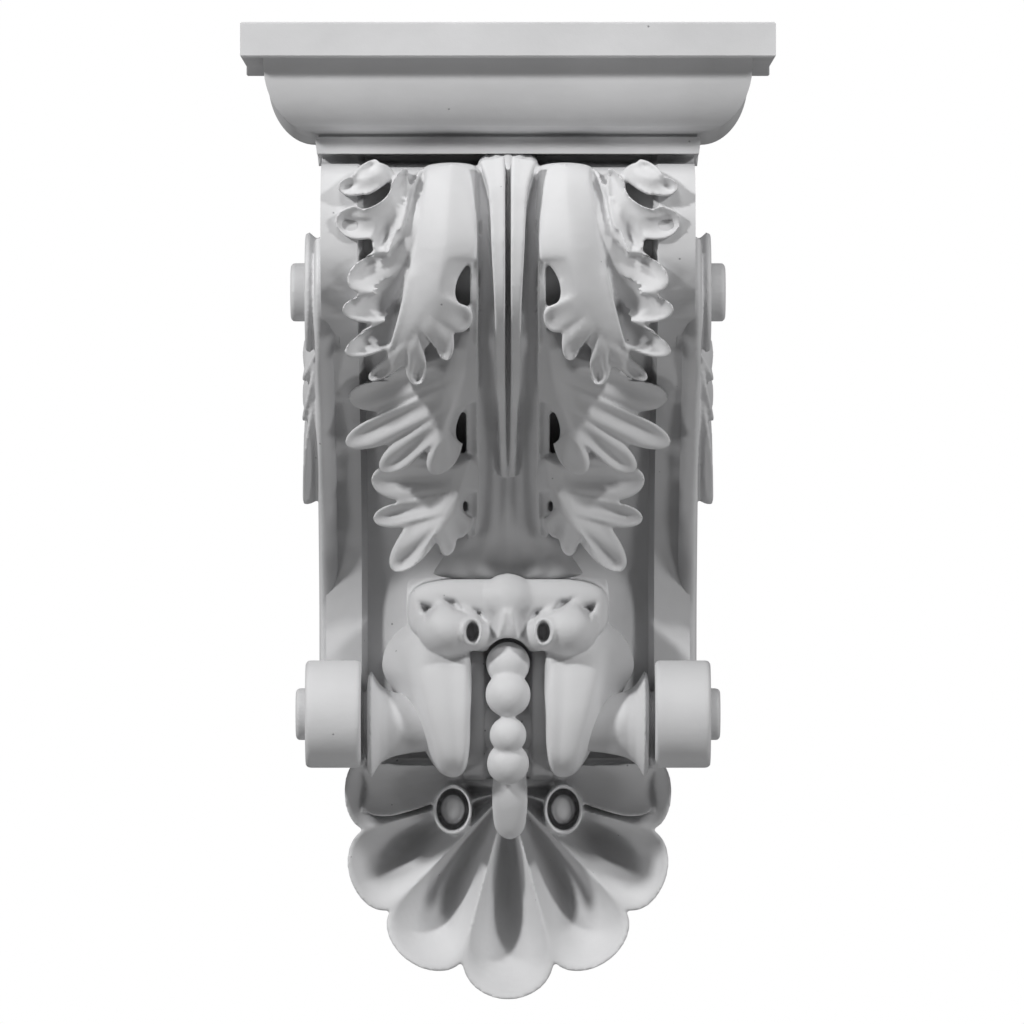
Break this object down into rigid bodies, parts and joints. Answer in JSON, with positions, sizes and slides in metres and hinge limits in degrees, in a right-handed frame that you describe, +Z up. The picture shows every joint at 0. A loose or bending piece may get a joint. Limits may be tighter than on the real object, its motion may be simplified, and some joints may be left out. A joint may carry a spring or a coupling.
{
  "type": "acanthus corbel",
  "caption": "Wall corbel with a moulded cap, a scrolled console carrying an acanthus leaf, pods and beads between lower scrolls, and a shell at its foot.",
  "frame": {"origin": "centre of the flat back, where the corbel meets the wall, at half its height", "axes": "+Z up to the cap, +Y into the wall, +X to the right seen from the front; the carved front looks along -Y"},
  "size_m": [0.296, 0.248, 0.5397],
  "materials": {
    "grey_primer": "moulded high-density polyurethane with a matte light grey factory primer"
  },
  "bodies": {
    "root": {"corbel": "grey_primer"}
  },
  "joints": []
}
